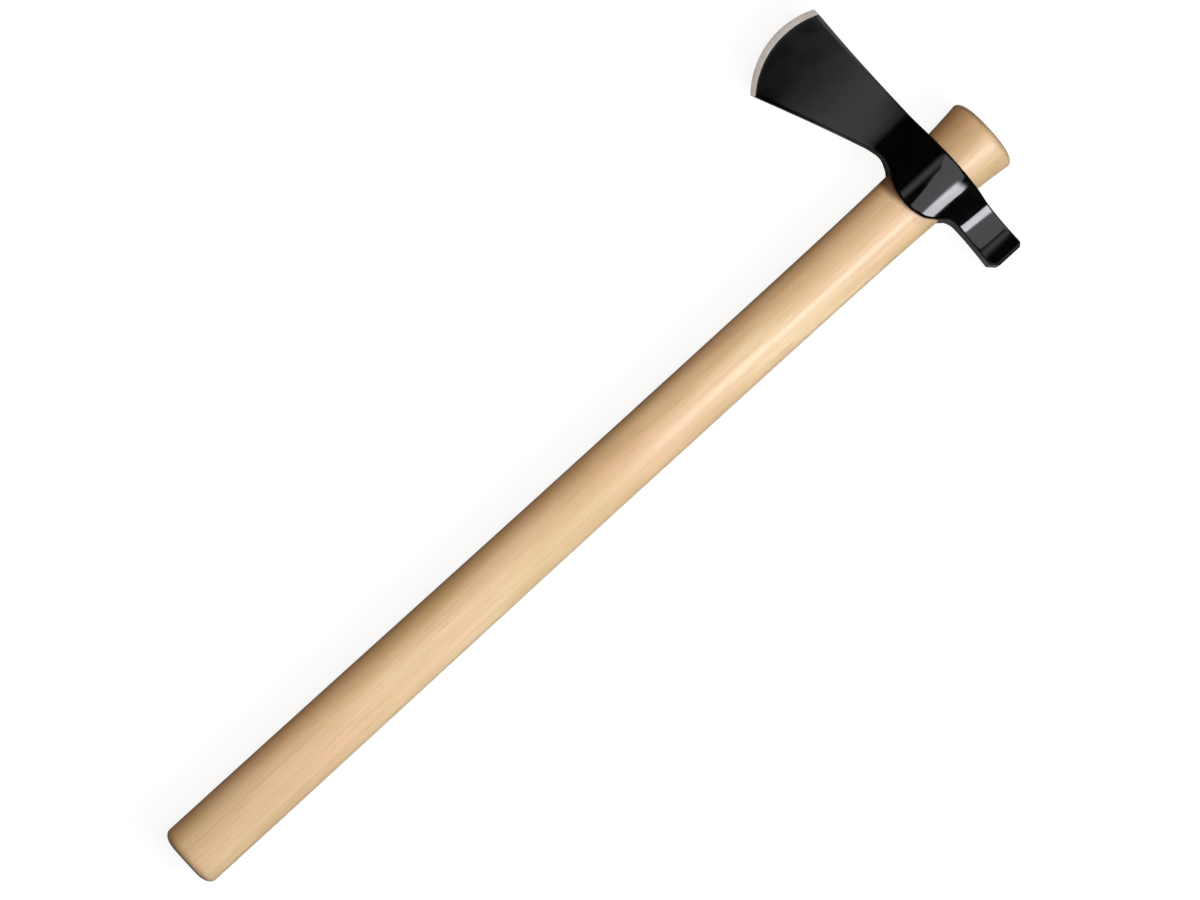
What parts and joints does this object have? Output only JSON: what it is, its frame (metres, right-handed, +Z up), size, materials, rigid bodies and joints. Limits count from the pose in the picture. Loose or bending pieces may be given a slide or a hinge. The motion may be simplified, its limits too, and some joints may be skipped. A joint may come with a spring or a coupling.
{
  "type": "tomahawk hatchet with a hammer poll",
  "caption": "Belt hatchet of the tomahawk kind: a forged head with a flared blade, an oval eye and a hammer poll, wedged on a flared oval wooden haft and locked by a set screw.",
  "frame": {"origin": "centre of the flat butt end of the haft", "axes": "the tool lies flat on its cheek: +X runs up the haft from the butt to the head, +Y runs out to the cutting edge, +Z is up, out of the upper cheek"},
  "size_m": [0.558, 0.1663, 0.0336],
  "materials": {
    "haft_wood": "clear varnish over straight lengthwise hickory grain",
    "head_paint": "glossy black paint over forged steel, with the cutting bevel ground bare",
    "screw_steel": "black oxide"
  },
  "bodies": {
    "haft": {"haft": "haft_wood"},
    "head": {"head": "head_paint"},
    "set_screw": {"set_screw": "screw_steel"}
  },
  "joints": [
    {"name": "head_slide", "type": "slide", "parent": "haft", "child": "head", "axis": [-1, 0, 0], "range_m": [0, 0.54]},
    {"name": "set_screw_travel", "type": "slide", "parent": "head", "child": "set_screw", "axis": [0, 0, -1], "range_m": [0, 0.009]}
  ]
}
